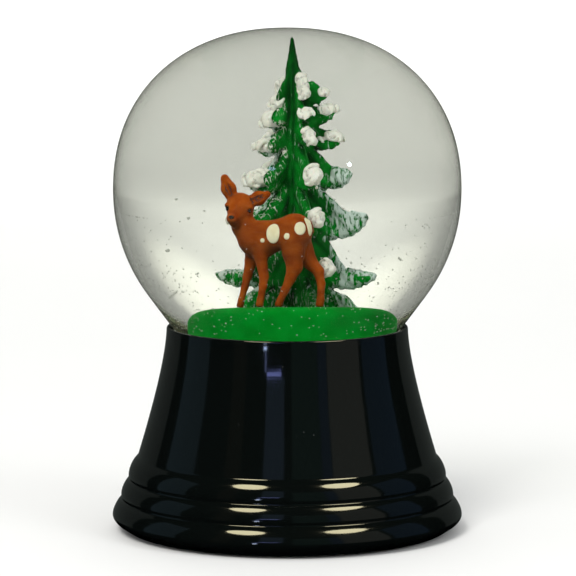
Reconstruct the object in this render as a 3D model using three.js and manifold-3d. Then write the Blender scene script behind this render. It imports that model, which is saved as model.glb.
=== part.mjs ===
// A water-filled glass snow globe: a fawn and a fir tree stand on a green ground inside a glass
// globe, and the globe's neck is set in plaster in a black moulded base.
// Millimetres, +Z up, origin at the centre of the underside, front towards -Y.
import * as THREE from 'three';
import { mergeVertices } from 'three/addons/utils/BufferGeometryUtils.js';
import Module from 'manifold-3d';

const wasm = await Module();
wasm.setup();

// ---- driving dimensions ----
const GAP = 0.3;                  // clearance between neighbouring pieces
const ROUND = 40;                 // facets round a large turned piece
const ROUND_SMALL = 32;           // facets round a hidden turned piece

const GLOBE_R = 40;               // outer radius of the glass
const GLOBE_Z = 78.5;             // height of its widest circle
const DOME_RISE = 37.4;           // dome height above the widest circle
const DOME_POWER = 2.2;           // superellipse exponent of the dome
const GLASS_WALL = 1.7;
const SHOULDER_ANGLE = THREE.MathUtils.degToRad(36.5);   // of the conical shoulder, from the axis
const NECK_R = 22.4;              // outer radius of the neck
const NECK_END_Z = 22;            // lower end of the neck

const BASE_TOP_Z = 47.3;
const BASE_WALL = 2.2;
const FOOT_Z = 0.5;               // underside of the base shell, above the felt's face
const RIM_R = 27.9;               // outer radius of the base under its rounded rim
const WALL_FOOT = [34.7, 17.0];   // where the flared wall meets the upper bead
const FELT_R = 34.6;
const FELT_THICKNESS = 1.0;
const DISC_R = 36.0;              // the hardboard disc that closes the underside
const DISC_THICKNESS = 1.4;
const DISC_LEDGE = 2;             // step inside the shell that the disc stops against

const STOPPER_TOP_Z = 36;
const STOPPER_FLANGE = 2.5;
const STOPPER_LIP = 1.2;          // how far the flange reaches past the neck
const SEAL_THICKNESS = 1.0;
const BOSS_R = 9;
const BOSS_DEPTH = 7;             // how far the boss goes into the stopper

const FIGURES_X = 1.0;            // the hand-set ground stands a little off the axis
const GROUND_R = 18.3;
const GROUND_TOP_Z = 57.2;
const GROUND_BOTTOM_Z = 44.6;
const GROUND_EDGE_R = 4.2;        // rounding of the top edge
const SNOW_TOP_Z = 47.4;          // settled flakes, at the glass
const SNOW_BOTTOM_Z = 43.2;
const SNOW_FALL = 1.6;            // how much lower they lie at the ground

const TREE_X = 0.9;
const TREE_Y = 3.5;
const TREE_HEIGHT = 47.4;
const TRUNK_R = 2.4;
const VANE_HALF = 0.75;           // half the thickness of a vane
const SPIKE_R = 0.45;             // of the bare top, where it starts
const SPIKE_LENGTH = 4;

const FAWN_Y = -11;
const FAWN_YAW = THREE.MathUtils.degToRad(-12);    // rump turned towards the front

// ---- helpers ----
const group = new THREE.Group();

function look(color, roughness, metalness = 0, opacity = 1) {
  return new THREE.MeshStandardMaterial({
    color, roughness, metalness, opacity, transparent: opacity < 1,
  });
}

function addPiece(name, geometry, material) {
  const mesh = new THREE.Mesh(geometry, material);
  mesh.name = name;
  group.add(mesh);
  return mesh;
}

// A turned piece. The profile is [radius, height] pairs that run from the lowest point on the
// outside up to the highest, and close on the axis or on themselves.
function turned(profile, facets = ROUND) {
  const points = profile.map(([r, z]) => new THREE.Vector2(r, z));
  return new THREE.LatheGeometry(points, facets).rotateX(Math.PI / 2);
}

function toSolid(geometry) {
  const bare = geometry.clone();
  bare.deleteAttribute('normal');
  bare.deleteAttribute('uv');
  const merged = mergeVertices(bare, 1e-4);
  const index = [];
  for (let i = 0; i < merged.index.count; i += 3) {
    const [a, b, c] = [0, 1, 2].map((k) => merged.index.getX(i + k));
    if (a !== b && b !== c && c !== a) index.push(a, b, c);
  }
  return new wasm.Manifold(new wasm.Mesh({
    numProp: 3,
    vertProperties: new Float32Array(merged.attributes.position.array),
    triVerts: new Uint32Array(index),
  }));
}

function toGeometry(solid) {
  const { vertProperties, triVerts } = solid.getMesh();
  const geometry = new THREE.BufferGeometry();
  geometry.setAttribute('position', new THREE.BufferAttribute(vertProperties, 3));
  geometry.setIndex(new THREE.BufferAttribute(triVerts, 1));
  geometry.computeVertexNormals();
  return geometry;
}

const joined = (solids) => solids.reduce((whole, solid) => whole.add(solid));

// Points of an arc in the profile plane, angles in degrees from the outward direction.
function arc(r, z, radius, from, to, steps) {
  const points = [];
  for (let i = 0; i <= steps; i += 1) {
    const angle = THREE.MathUtils.degToRad(from + (to - from) * i / steps);
    points.push([r + radius * Math.cos(angle), z + radius * Math.sin(angle)]);
  }
  return points;
}

// ---- glass globe ----
// The outer face, drawn in by "inset" all over, from the neck's lower end up to the crown.
function globeProfile(inset, lowestZ, domeSteps = 11, sideSteps = 4) {
  const radius = GLOBE_R - inset;
  const rise = DOME_RISE - inset;
  const neck = NECK_R - inset;
  const slope = Math.tan(SHOULDER_ANGLE);
  const tangentR = radius * Math.cos(SHOULDER_ANGLE);
  const tangentZ = GLOBE_Z - radius * Math.sin(SHOULDER_ANGLE);
  const neckTopZ = tangentZ - (tangentR - neck) / slope;
  const points = [[neck, lowestZ], [neck, neckTopZ - 1.6], [neck + 0.35, neckTopZ - 0.1],
    [neck + 1.2, neckTopZ + 1.2 / slope]];
  for (let i = 0; i <= sideSteps; i += 1) {
    const angle = SHOULDER_ANGLE * (1 - i / sideSteps);
    points.push([radius * Math.cos(angle), GLOBE_Z - radius * Math.sin(angle)]);
  }
  for (let i = 1; i <= domeSteps; i += 1) {
    const angle = (Math.PI / 2) * (1 - i / domeSteps);
    const across = i === domeSteps ? 0 : Math.sin(angle) ** (2 / DOME_POWER);
    points.push([radius * across, GLOBE_Z + rise * Math.cos(angle) ** (2 / DOME_POWER)]);
  }
  return points;
}

const glassOuter = globeProfile(0, NECK_END_Z);
const glassInner = globeProfile(GLASS_WALL, NECK_END_Z);
addPiece('glass_globe', turned([...glassOuter, ...glassInner.reverse(), glassOuter[0]]),
  look('#eef3f1', 0.05, 0, 0.25));

// ---- stopper, its seal, and the ground that plugs into it ----
const neckBore = NECK_R - GLASS_WALL;
const stopperR = neckBore - GAP;
const flangeR = NECK_R + STOPPER_LIP;
const sealTopZ = NECK_END_Z - GAP;
const flangeTopZ = sealTopZ - SEAL_THICKNESS - GAP;
const flangeBottomZ = flangeTopZ - STOPPER_FLANGE;
const socketZ = STOPPER_TOP_Z - BOSS_DEPTH - GAP;
const socketR = BOSS_R + GAP;

const stopperPlug = toSolid(turned([[0, flangeBottomZ], [flangeR, flangeBottomZ],
  [flangeR, flangeTopZ], [stopperR - 0.4, flangeTopZ], [stopperR, flangeTopZ + 2],
  [stopperR, STOPPER_TOP_Z - 1], [stopperR - 1, STOPPER_TOP_Z], [0, STOPPER_TOP_Z]], ROUND_SMALL));
const socketCut = toSolid(turned([[0, socketZ], [socketR, socketZ],
  [socketR, STOPPER_TOP_Z + 1], [0, STOPPER_TOP_Z + 1]], ROUND_SMALL).translate(FIGURES_X, 0, 0));
addPiece('neck_stopper', toGeometry(stopperPlug.subtract(socketCut)), look('#5b4a42', 0.85));

const sealInnerR = stopperR + 0.1;
addPiece('neck_seal', turned([[sealInnerR, flangeTopZ + GAP], [flangeR, flangeTopZ + GAP],
  [flangeR, sealTopZ], [sealInnerR, sealTopZ], [sealInnerR, flangeTopZ + GAP]], ROUND_SMALL),
look('#d8d6cf', 0.6));

// The ground: boss, underside, side and crowned top. "grow" gives its clearance in the liquid.
function groundProfile(grow, bossBottomZ) {
  const edge = GROUND_EDGE_R + grow;
  const edgeR = GROUND_R + grow - edge;
  const edgeZ = GROUND_TOP_Z + grow - edge;
  return [[0, bossBottomZ], [BOSS_R + grow, bossBottomZ], [BOSS_R + grow, GROUND_BOTTOM_Z - grow],
    [GROUND_R + grow - 1, GROUND_BOTTOM_Z - grow], [GROUND_R + grow, GROUND_BOTTOM_Z + 1 - grow],
    ...arc(edgeR, edgeZ, edge, 0, 90, 5), [0, GROUND_TOP_Z + grow]];
}

const groundGeometry = turned(groundProfile(0, STOPPER_TOP_Z - BOSS_DEPTH), 40)
  .translate(FIGURES_X, 0, 0);
addPiece('ground_disc', groundGeometry, look('#0a7a2c', 0.5));

// ---- fir tree ----
// Each tier of a vane: where its tip is, how its upper edge runs in, and the notch below it.
// [distance from the trunk's axis, height above the ground]
const TIERS = [
  { shoulder: [2.6, 39.6], tip: [5.9, 37.3], under: [4.7, 36.0], notch: [3.5, 35.6] },
  { shoulder: [5.3, 35.2], tip: [7.2, 34.0], under: [6.2, 32.8], notch: [4.3, 31.8] },
  { shoulder: [6.8, 30.9], tip: [8.4, 29.7], under: [6.2, 27.9], notch: [3.7, 28.2] },
  { shoulder: [6.5, 25.4], tip: [9.8, 24.2], under: [7.3, 21.2], notch: [4.6, 21.4] },
  { shoulder: [8.8, 17.5], tip: [12.5, 16.4], under: [8.8, 12.6], notch: [5.7, 12.9] },
  { shoulder: [9.2, 7.3], tip: [14.5, 6.5], under: [10.0, 4.0], notch: [6.3, 4.4] },
];
const SKIRT = [[9.6, 2.6], [11.8, 0.3]];
const VANES = [    // [direction seen from above, degrees from +X; reach of its lowest tier, top tier]
  [-3, 1, 1], [-64, 0.92, 0.88], [-132, 0.8, 0.7], [-180, 0.88, 0.58], [-240, 0.9, 0.8],
  [-324, 0.95, 0.85],
];

// The outline of one vane. The reaches scale it outwards, "grow" widens it all round.
function vaneOutline(lowReach, topReach, grow) {
  const outline = new THREE.Shape();
  const lowest = TIERS.length - 1;
  const at = ([r, z], tier, up = 0) => {
    const reach = topReach + (lowReach - topReach) * tier / lowest;
    return [r * reach + grow, z + up * grow];
  };
  outline.moveTo(-grow, -grow);
  outline.lineTo(...at(SKIRT[1], lowest, -1));
  outline.lineTo(...at(SKIRT[0], lowest, 0));
  for (let tier = lowest; tier >= 0; tier -= 1) {
    const { shoulder, tip, under, notch } = TIERS[tier];
    outline.lineTo(...at(notch, tier, -0.3));
    outline.quadraticCurveTo(...at(under, tier, -1.4), ...at(tip, tier, -0.6));
    outline.lineTo(...at(tip, tier, 0.6));
    outline.lineTo(...at(shoulder, tier, 1.4));
  }
  outline.lineTo(SPIKE_R + grow, TREE_HEIGHT - SPIKE_LENGTH);
  outline.lineTo(-grow, TREE_HEIGHT - SPIKE_LENGTH);
  outline.closePath();
  return outline;
}

function treeSolid(grow) {
  const half = VANE_HALF + grow;
  const vanes = VANES.map(([direction, lowReach, topReach]) => toSolid(
    new THREE.ExtrudeGeometry(vaneOutline(lowReach, topReach, grow), {
      depth: 2 * half, bevelEnabled: false, curveSegments: 2,
    }).translate(0, 0, -half).rotateX(Math.PI / 2)
      .rotateZ(THREE.MathUtils.degToRad(direction)),
  ));
  const trunk = toSolid(turned([[0, -grow], [TRUNK_R + grow, -grow],
    [SPIKE_R + grow, TREE_HEIGHT - SPIKE_LENGTH], [0.12 + grow, TREE_HEIGHT + grow],
    [0, TREE_HEIGHT + grow]], 12));
  return joined([trunk, ...vanes]);
}

const treeFootZ = GROUND_TOP_Z + GAP;
const treeMesh = addPiece('fir_tree', toGeometry(treeSolid(0)), look('#0c6e25', 0.55));
treeMesh.position.set(TREE_X, TREE_Y, treeFootZ);

// ---- fawn ----
// Its own axes: it faces -X, with heights above the ground.
function ball([x, y, z], [rx, ry, rz], grow) {
  return toSolid(new THREE.SphereGeometry(1, 10, 7).rotateX(Math.PI / 2)
    .scale(rx + grow, ry + grow, rz + grow).translate(x, y, z));
}

// A rounded limb from one point to another, with a radius at each end.
function limb(from, to, startR, endR, grow) {
  const a = new THREE.Vector3(...from);
  const b = new THREE.Vector3(...to);
  const length = a.distanceTo(b);
  const r0 = startR + grow;
  const r1 = endR + grow;
  const geometry = new THREE.LatheGeometry([[0, -0.7 * r0], [0.75 * r0, -0.5 * r0], [r0, 0],
    [r1, length], [0.75 * r1, length + 0.5 * r1], [0, length + 0.7 * r1]]
    .map(([r, h]) => new THREE.Vector2(r, h)), 8);
  const turn = new THREE.Quaternion().setFromUnitVectors(new THREE.Vector3(0, 1, 0),
    b.clone().sub(a).normalize());
  return toSolid(geometry.applyQuaternion(turn).translate(...from));
}

// A leg ends flat on the ground, in a small hoof.
function foot([x, y], grow) {
  return toSolid(new THREE.CylinderGeometry(0.8 + grow, 0.95 + grow, 1.6 + grow, 6)
    .rotateX(Math.PI / 2).translate(x, y, 0.8 - grow / 2));
}

function fawnSolid(grow) {
  const nearSide = -1.5;
  const farSide = 1.4;
  const legs = [    // each: side, then [x, height, radius] from the body down
    [nearSide, [-4.8, 12.0, 1.5], [-4.1, 6.0, 0.85], [-4.8, 1.0, 0.65]],
    [farSide, [-6.8, 11.0, 1.3], [-7.8, 5.6, 0.75], [-9.0, 1.0, 0.6]],
    [nearSide, [1.3, 12.2, 2.2], [1.6, 7.6, 1.45], [0.7, 5.2, 0.95], [-1.1, 1.0, 0.65]],
    [farSide, [1.9, 11.6, 1.8], [4.2, 8.3, 1.15], [5.7, 6.6, 0.95], [6.0, 1.0, 0.7]],
  ];
  const parts = [
    ball([-5.3, 0, 12.6], [3.4, 2.5, 3.6], grow),                   // chest
    ball([1.4, 0, 14.4], [3.2, 2.7, 3.5], grow),                    // rump
    limb([-4.6, 0, 13.2], [1.0, 0, 14.3], 2.9, 3.1, grow),          // back
    limb([-6.8, 0, 12.8], [-8.4, 0.1, 17.0], 2.4, 2.1, grow),       // neck
    ball([-8.8, 0.1, 19.0], [2.6, 2.5, 2.6], grow),                 // head
    limb([-9.0, -0.9, 17.9], [-9.8, -3.3, 16.8], 1.9, 1.2, grow),   // muzzle
    limb([-10.3, 0.6, 20.5], [-11.0, 0.8, 22.3], 1.0, 1.3, grow),   // ears
    limb([-11.0, 0.8, 22.3], [-11.8, 0.9, 24.2], 1.3, 0.7, grow),
    limb([-7.0, 0.5, 19.9], [-5.3, 0.9, 20.6], 1.0, 1.3, grow),
    limb([-5.3, 0.9, 20.6], [-3.7, 1.3, 21.3], 1.3, 0.6, grow),
  ];
  legs.forEach(([side, ...joints]) => {
    for (let i = 1; i < joints.length; i += 1) {
      const [x0, z0, r0] = joints[i - 1];
      const [x1, z1, r1] = joints[i];
      parts.push(limb([x0, side, z0], [x1, side, z1], r0, r1, grow));
    }
    parts.push(foot([joints.at(-1)[0] - 0.1, side], grow));
  });
  return joined(parts);
}

const fawnMesh = addPiece('fawn', toGeometry(fawnSolid(0)), look('#8a4112', 0.55));
fawnMesh.position.set(0, FAWN_Y, GROUND_TOP_Z + GAP);
fawnMesh.rotation.z = FAWN_YAW;

// ---- settled flakes ----
// They lie in the groove round the ground, highest at the glass.
const waterInset = GLASS_WALL + GAP;
const slopeOut = Math.tan(SHOULDER_ANGLE);
const innerTangentR = (GLOBE_R - waterInset - GAP) * Math.cos(SHOULDER_ANGLE);
const innerTangentZ = GLOBE_Z - (GLOBE_R - waterInset - GAP) * Math.sin(SHOULDER_ANGLE);
const glassFaceR = (z) => innerTangentR - (innerTangentZ - z) * slopeOut;
const snowInnerR = GROUND_R + FIGURES_X + 2 * GAP;
function snowProfile(grow, inner) {
  return [[inner, SNOW_BOTTOM_Z - grow], [glassFaceR(SNOW_BOTTOM_Z) + grow, SNOW_BOTTOM_Z - grow],
    [glassFaceR(SNOW_TOP_Z) + grow, SNOW_TOP_Z + grow], [inner, SNOW_TOP_Z - SNOW_FALL + grow],
    [inner, SNOW_BOTTOM_Z - grow]];
}
addPiece('snow_flakes', turned(snowProfile(0, snowInnerR), ROUND_SMALL), look('#f4f3ec', 0.7));

// ---- liquid ----
const waterBottomZ = STOPPER_TOP_Z + GAP;
const waterBody = toSolid(turned([[0, waterBottomZ], ...globeProfile(waterInset, waterBottomZ, 8, 3)]));
const groundSpace = toSolid(turned(groundProfile(GAP, waterBottomZ - 1), 40)
  .translate(FIGURES_X, 0, 0));
const treeSpace = treeSolid(GAP).translate([TREE_X, TREE_Y, treeFootZ]);
const fawnSpace = fawnSolid(GAP).rotate([0, 0, THREE.MathUtils.radToDeg(FAWN_YAW)])
  .translate([0, FAWN_Y, GROUND_TOP_Z + GAP]);
// The flakes lie against the ground, so their space in the liquid joins the ground's.
const snowSpace = toSolid(turned(snowProfile(GAP / 2, GROUND_R - 2 * FIGURES_X), ROUND_SMALL));
const water = waterBody.subtract(groundSpace).subtract(treeSpace).subtract(fawnSpace)
  .subtract(snowSpace);
addPiece('water_fill', toGeometry(water), look('#f2f6f4', 0.05, 0, 0.15));

// ---- base shell ----
const [wallFootR, wallFootZ] = WALL_FOOT;
const wallCurve = new THREE.QuadraticBezierCurve(new THREE.Vector2(wallFootR, wallFootZ),
  new THREE.Vector2(RIM_R + 0.2, 38.5), new THREE.Vector2(RIM_R, BASE_TOP_Z - 0.5));
const wallPoints = wallCurve.getPoints(6).map((p) => [p.x, p.y]);
const rimInnerR = RIM_R - 1;
const pocketTopZ = BASE_TOP_Z - 4;
const beads = [                    // foot, lower bead, upper bead: each a shoulder and a steep side
  [37.3, FOOT_Z], [38.7, 1.5], [39.8, 2.3], [40.5, 3.6], [40.3, 4.6], [39.8, 5.7], [38.5, 7.3],
  [38.5, 8.4], [38.3, 9.4], [37.8, 10.6], [36.75, 11.9],
  [36.8, 12.8], [36.6, 13.9], [36.1, 15.1], [35.5, 16.1],
];
const rim = [[RIM_R - 0.4, BASE_TOP_Z], [rimInnerR + 0.3, BASE_TOP_Z],
  [rimInnerR, BASE_TOP_Z - 0.5]];
// The inner face of the flared wall, [radius, height], drawn in by "inset".
const innerWall = (inset) => [[28.1, 40], [29.6, 32], [31.5, 25], [wallFootR, wallFootZ]]
  .map(([r, z]) => [r - BASE_WALL - inset, z - inset]);
const discSeatZ = FOOT_Z + DISC_THICKNESS + 1.1;
const shellInside = [
  [rimInnerR, pocketTopZ], ...innerWall(0), [wallFootR - BASE_WALL, discSeatZ + DISC_LEDGE],
  [DISC_R - 1.8, discSeatZ], [DISC_R + GAP, discSeatZ], [DISC_R + GAP, FOOT_Z + 0.01],
];
addPiece('base_shell', turned([...beads, ...wallPoints, ...rim, ...shellInside, beads[0]]),
  look('#0a0c0d', 0.12));

// ---- plaster that holds the neck ----
const plasterBottomZ = discSeatZ + DISC_LEDGE + 0.2;
const pocketR = flangeR + GAP;
const pocketZ = flangeBottomZ - GAP;
const plasterTopZ = 39;
const outerNeckTopZ = GLOBE_Z - GLOBE_R * Math.sin(SHOULDER_ANGLE)
  - (GLOBE_R * Math.cos(SHOULDER_ANGLE) - NECK_R) / slopeOut;
const plasterOutside = innerWall(GAP).reverse();
const [plasterTopR] = plasterOutside.at(-1);
addPiece('plaster_setting', turned([
  [0, plasterBottomZ], [plasterOutside[0][0], plasterBottomZ], ...plasterOutside.slice(0, -1),
  [plasterTopR, plasterTopZ], [NECK_R + 1.8, plasterTopZ],
  [NECK_R + GAP + 0.2, outerNeckTopZ - 2.2], [NECK_R + GAP, NECK_END_Z + 1.5],
  [pocketR, NECK_END_Z + 0.6], [pocketR, pocketZ], [0, pocketZ]], ROUND), look('#e9e6df', 0.9));

// ---- underside ----
const discTopZ = discSeatZ - GAP;
const discBottomZ = discTopZ - DISC_THICKNESS;
addPiece('bottom_disc', turned([[0, discBottomZ], [DISC_R, discBottomZ],
  [DISC_R, discTopZ], [0, discTopZ]], ROUND), look('#7a5b3c', 0.8));
addPiece('felt_pad', turned([[0, 0], [FELT_R, 0], [FELT_R, FELT_THICKNESS],
  [0, FELT_THICKNESS]], ROUND), look('#1d3b26', 0.95));

export default group;
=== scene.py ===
"""A water-filled snow globe: a fawn and a snow-brushed fir tree behind blown glass, on a black
glossy base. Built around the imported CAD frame; lengths inside the functions are millimetres."""
import math

import bpy
import numpy as np
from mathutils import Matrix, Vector


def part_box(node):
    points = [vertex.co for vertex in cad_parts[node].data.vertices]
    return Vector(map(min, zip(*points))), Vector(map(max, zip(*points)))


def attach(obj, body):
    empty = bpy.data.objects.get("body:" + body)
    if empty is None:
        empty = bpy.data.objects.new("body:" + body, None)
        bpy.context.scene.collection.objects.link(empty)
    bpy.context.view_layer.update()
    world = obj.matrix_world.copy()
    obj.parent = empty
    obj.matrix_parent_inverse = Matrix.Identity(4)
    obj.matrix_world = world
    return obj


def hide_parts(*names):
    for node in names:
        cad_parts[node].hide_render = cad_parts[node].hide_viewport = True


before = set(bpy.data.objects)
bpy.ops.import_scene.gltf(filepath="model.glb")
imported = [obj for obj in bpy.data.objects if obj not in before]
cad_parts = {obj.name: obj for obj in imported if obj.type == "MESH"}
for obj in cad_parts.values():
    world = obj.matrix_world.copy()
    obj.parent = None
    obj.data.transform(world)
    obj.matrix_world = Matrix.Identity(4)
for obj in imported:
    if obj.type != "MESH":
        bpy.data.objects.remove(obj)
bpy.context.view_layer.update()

MM = 0.001
scene = bpy.context.scene


def node_box(name):
    """A CAD node's lowest and highest corners, in millimetres."""
    low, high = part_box(name)
    return np.array(low, float) / MM, np.array(high, float) / MM


glass_low, glass_high = node_box("glass_globe")
base_low, base_high = node_box("base_shell")
ground_low, ground_high = node_box("ground_disc")
tree_low, tree_high = node_box("fir_tree")
snow_low, snow_high = node_box("snow_flakes")
felt_high = node_box("felt_pad")[1]

# ---- driving dimensions (mm)
GLOBE_R = (glass_high[0] - glass_low[0]) / 2
DOME_RISE = 37.4
GLOBE_Z = glass_high[2] - DOME_RISE
DOME_POWER = 2.2          # 2 would make the dome an ellipse
WALL = 1.7
SHOULDER = math.radians(36.5)       # below the widest ring, where the ball's straight slope starts
NECK_R = 22.4
NECK_END_Z = glass_low[2]
GROUND_X = (ground_high[0] + ground_low[0]) / 2
GROUND_R = (ground_high[0] - ground_low[0]) / 2
GROUND_TOP_Z = ground_high[2]
GROUND_EDGE = 3.4         # the radius of its rounded edge
TREE_FOOT_Z = tree_low[2]
TREE_HEIGHT = tree_high[2] - tree_low[2]
TREE_X, TREE_Y = 0.9, 3.5
FAWN_Y = -10.0
FAWN_YAW = math.radians(-12)
BASE_TOP_Z = base_high[2]
BASE_R = (base_high[0] - base_low[0]) / 2
FOOT_Z = base_low[2]
ON_AXIS = 1e-6            # a turned profile's point nearer than this to the axis is on it
FAR = 9.0                 # stands for any distance well clear of a surface


# ---- meshes from numbers
def add_mesh(name, verts, faces, material, smooth=True):
    """A mesh object from millimetre vertices."""
    mesh = bpy.data.meshes.new(name)
    mesh.from_pydata((np.asarray(verts, float) * MM).tolist(), [], [list(f) for f in faces])
    mesh.materials.append(material)
    mesh.polygons.foreach_set("use_smooth", [smooth] * len(mesh.polygons))
    mesh.update()
    obj = bpy.data.objects.new(name, mesh)
    scene.collection.objects.link(obj)
    return obj


def resample(points, step):
    """Evenly spaced points along a polyline."""
    points = np.asarray(points, float)
    lengths = np.hypot(*np.diff(points, axis=0).T)
    along = np.concatenate([[0], np.cumsum(lengths)])
    count = max(int(along[-1] / step), 2)
    at = np.linspace(0, along[-1], count + 1)
    return np.stack([np.interp(at, along, points[:, k]) for k in (0, 1)], 1)


def soften(points, step, radius):
    """The polyline with its corners rounded to about the given radius. Its ends stay put."""
    path = resample(points, step)
    reach = max(int(3 * radius / step), 1)
    weights = np.exp(-0.5 * (np.arange(-reach, reach + 1) * step / radius) ** 2)
    weights /= weights.sum()
    first = 2 * path[0] - path[1:reach + 1][::-1]
    last = 2 * path[-1] - path[-reach - 1:-1][::-1]
    padded = np.concatenate([first, path, last])
    return np.stack([np.convolve(padded[:, k], weights, "valid") for k in (0, 1)], 1)


def ring_faces(rows, closed):
    """Faces between each ring of vertices and the next and, if closed, from the last ring back
    to the first."""
    pairs = list(zip(rows, rows[1:]))
    if closed:
        pairs.append((rows[-1], rows[0]))
    faces = []
    for low, high in pairs:
        for i in range(len(low)):
            j = (i + 1) % len(low)
            ring = [low[i], low[j], high[j], high[i]]
            face = [v for k, v in enumerate(ring) if v not in ring[:k]]
            if len(face) > 2:
                faces.append(face)
    return faces


def turned(name, profile, material, segments, centre=(0, 0)):
    """A turned piece. The profile is (radius, height) pairs, on the axis at its two ends or
    closed on itself, with the solid on its left."""
    turns = np.arange(segments) * 2 * math.pi / segments
    rows, verts = [], []
    for r, z in profile:
        if r < ON_AXIS:
            rows.append([len(verts)] * segments)
            verts.append((*centre, z))
            continue
        rows.append(list(range(len(verts), len(verts) + segments)))
        verts.extend((centre[0] + r * math.cos(a), centre[1] + r * math.sin(a), z) for a in turns)
    return add_mesh(name, verts, ring_faces(rows, profile[0][0] > ON_AXIS), material)


def arc(r, z, across, up, start, end, count):
    """Points of an elliptical arc in the profile plane, angles in degrees from outward."""
    angles = np.radians(np.linspace(start, end, count))
    return [(r + across * math.cos(a), z + up * math.sin(a)) for a in angles]


# ---- sculpting with distances
class Block:
    """A block of space sampled on a grid. Shapes in it are arrays of distances to a surface,
    negative inside."""

    def __init__(self, low, high, step):
        self.low, self.step = np.array(low, np.float32), step
        counts = np.ceil((np.array(high) - self.low) / step).astype(int) + 1
        axes = [self.low[k] + step * np.arange(counts[k], dtype=np.float32) for k in range(3)]
        self.x, self.y, self.z = np.meshgrid(*axes, indexing="ij")

    def ball(self, centre, radii):
        """An ellipsoid."""
        x, y, z = self.x - centre[0], self.y - centre[1], self.z - centre[2]
        rx, ry, rz = radii
        near = np.sqrt((x / rx) ** 2 + (y / ry) ** 2 + (z / rz) ** 2)
        slope = np.sqrt((x / rx**2) ** 2 + (y / ry**2) ** 2 + (z / rz**2) ** 2) + 1e-6
        return near * (near - 1) / slope

    def limb(self, start, end, r0, r1, squeeze=1.0):
        """A limb with round ends and a radius at each end, thinner along Y by squeeze."""
        a, b = np.array(start, np.float32), np.array(end, np.float32)
        d = b - a
        px, py, pz = self.x - a[0], self.y - a[1], self.z - a[2]
        t = np.clip((px * d[0] + py * d[1] + pz * d[2]) / float(d @ d), 0, 1)
        across = squeeze * (py - t * d[1])
        away = np.sqrt((px - t * d[0]) ** 2 + across**2 + (pz - t * d[2]) ** 2)
        return away - (r0 + (r1 - r0) * t)

    def nearest(self, verts):
        """The grid points nearest to the vertices."""
        index = np.rint((verts - self.low) / self.step).astype(int)
        return tuple(np.clip(index, 0, np.array(self.x.shape) - 1).T)

    def surface(self, distance):
        """Vertices and quads of the surface where the distance is zero."""
        inside = distance < 0
        shape = np.array(distance.shape) - 1
        corners = [(i, j, k) for i in (0, 1) for j in (0, 1) for k in (0, 1)]

        def at(array, corner):
            i, j, k = corner
            return array[i:shape[0] + i, j:shape[1] + j, k:shape[2] + k]

        mixed = sum(at(inside, c).astype(np.int8) for c in corners)
        cells = np.nonzero((mixed > 0) & (mixed < 8))
        total = np.zeros((len(cells[0]), 3))
        crossings = np.zeros(len(cells[0]))
        edges = [(a, axis) for a in corners for axis in range(3) if not a[axis]]
        for a, axis in edges:
            b = tuple(1 if k == axis else a[k] for k in range(3))
            va, vb = at(distance, a)[cells], at(distance, b)[cells]
            cut = (va < 0) != (vb < 0)
            t = np.where(cut, va / np.where(cut, va - vb, 1), 0)
            for k in range(3):
                total[:, k] += np.where(cut, a[k] + (t if k == axis else 0), 0)
            crossings += cut
        verts = self.low + self.step * (np.stack(cells, 1) + total / crossings[:, None])
        number = np.full(shape, -1)
        number[cells] = np.arange(len(cells[0]))
        faces = []
        for axis in range(3):
            others = [k for k in range(3) if k != axis]
            here = np.swapaxes(inside, 0, axis)
            change = np.swapaxes(here[:-1] != here[1:], 0, axis)
            spot = np.stack(np.nonzero(change), 1)
            keep = np.all((spot[:, others] > 0) & (spot[:, others] < shape[others]), axis=1)
            spot = spot[keep]
            ring = []
            for step_u, step_v in ((1, 1), (0, 1), (0, 0), (1, 0)):
                cell = spot.copy()
                cell[:, others[0]] -= step_u
                cell[:, others[1]] -= step_v
                ring.append(number[tuple(cell.T)])
            quads = np.stack(ring, 1)
            flip = inside[tuple(spot.T)] == (axis == 1)
            quads[flip] = quads[flip][:, ::-1]
            faces.append(quads)
        return verts, np.concatenate(faces)


def blend(a, b, radius):
    """Two shapes joined with a fillet."""
    h = np.clip(0.5 + 0.5 * (b - a) / radius, 0, 1)
    return b + (a - b) * h - radius * h * (1 - h)


def carve(a, b, radius):
    """Shape a with shape b cut away, with a rounded edge."""
    return -blend(-a, b, radius)


def within(a, b, radius):
    """What shapes a and b share, with a rounded edge."""
    return -blend(-a, -b, radius)


def relax(verts, faces, rounds):
    """The mesh with its small steps smoothed away. Each push inwards has one back outwards."""
    inwards, outwards = 0.5, -0.52
    edges = np.concatenate([faces[:, [k, (k + 1) % 4]] for k in range(4)])
    verts = np.array(verts, float)
    count = np.bincount(edges.ravel(), minlength=len(verts))[:, None]
    for n in range(2 * rounds):
        total = np.zeros_like(verts)
        np.add.at(total, edges[:, 0], verts[edges[:, 1]])
        np.add.at(total, edges[:, 1], verts[edges[:, 0]])
        push = inwards if n % 2 == 0 else outwards
        verts += push * (total / np.maximum(count, 1) - verts)
    return verts


def outline_distance(points, u, v):
    """Signed distance from the points (u, v) to a closed outline."""
    points = np.asarray(points, np.float32)
    nearest = np.full(u.shape, 1e9, np.float32)
    crossed = np.zeros(u.shape, bool)
    for (ax, ay), (bx, by) in zip(points, np.roll(points, -1, axis=0)):
        dx, dy = bx - ax, by - ay
        t = np.clip(((u - ax) * dx + (v - ay) * dy) / (dx * dx + dy * dy + 1e-12), 0, 1)
        nearest = np.minimum(nearest, (u - ax - t * dx) ** 2 + (v - ay - t * dy) ** 2)
        if ay != by:
            crossed ^= ((ay > v) != (by > v)) & (u < (bx - ax) * (v - ay) / (by - ay) + ax)
    return np.where(crossed, -1, 1) * np.sqrt(nearest)


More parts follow.
